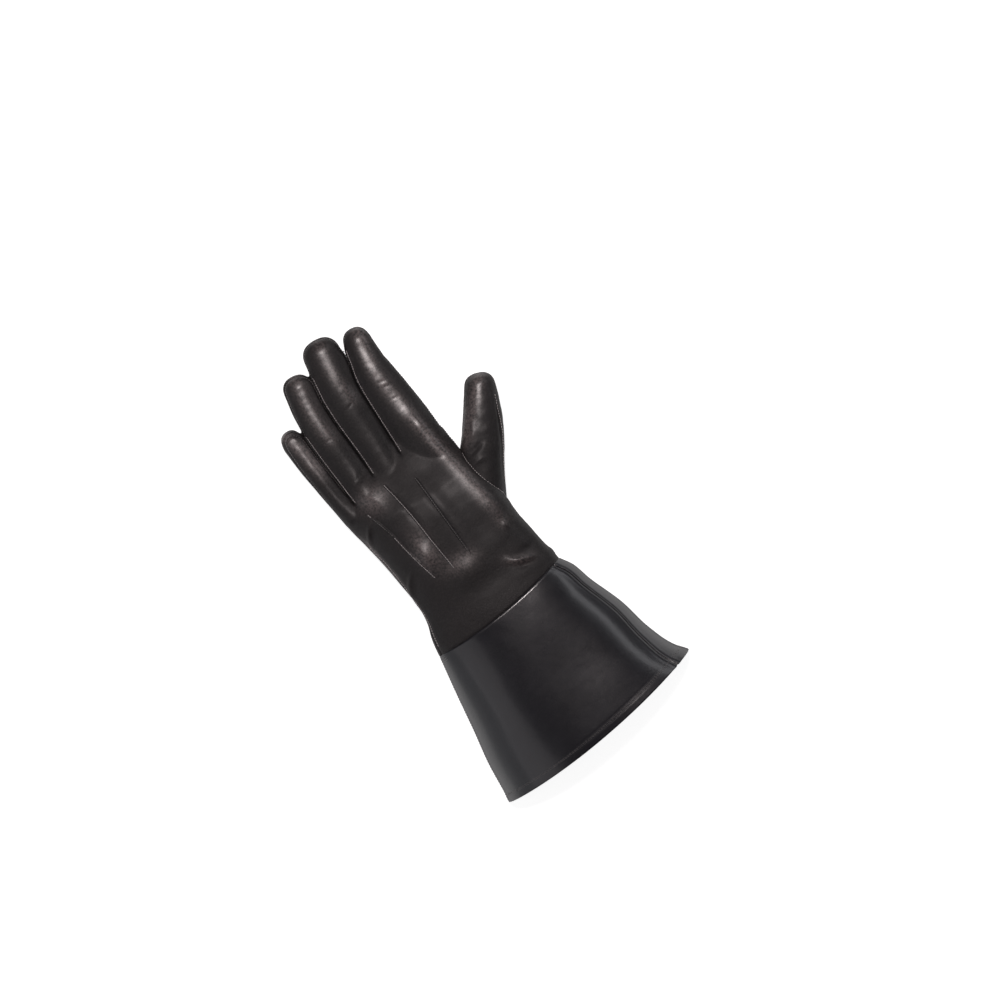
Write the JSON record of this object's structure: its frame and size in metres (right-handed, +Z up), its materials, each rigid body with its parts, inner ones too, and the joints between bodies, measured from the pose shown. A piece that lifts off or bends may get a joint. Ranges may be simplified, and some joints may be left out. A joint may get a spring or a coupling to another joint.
{
  "type": "gauntlet glove",
  "caption": "Black leather left-hand gauntlet glove lying palm down: four fingers, thumb, flared cuff, and a wrist strap with a slide buckle and a press stud under the palm side.",
  "frame": {"origin": "middle of the glove's box, on the ground it lies on", "axes": "+Y along the glove towards the fingertips, +X towards the thumb, +Z up out of the back of the hand"},
  "size_m": [0.174, 0.365, 0.044],
  "materials": {
    "hand_leather": "fine-grained, satin",
    "cuff_leather": "smooth, semi-gloss",
    "strap_leather": "grained, semi-gloss",
    "metal": "dark polished"
  },
  "bodies": {
    "root": {"back_panel": "hand_leather", "palm_panel": "hand_leather", "fourchette_ring_little": "hand_leather", "fourchette_middle_ring": "hand_leather", "fourchette_index_middle": "hand_leather", "thumb": "hand_leather", "cuff_back": "cuff_leather", "cuff_palm": "cuff_leather", "strap": "strap_leather", "chape": "strap_leather", "buckle": "metal", "snap_cap": "metal", "snap_stud": "metal", "spare_stud": "metal"}
  },
  "joints": []
}
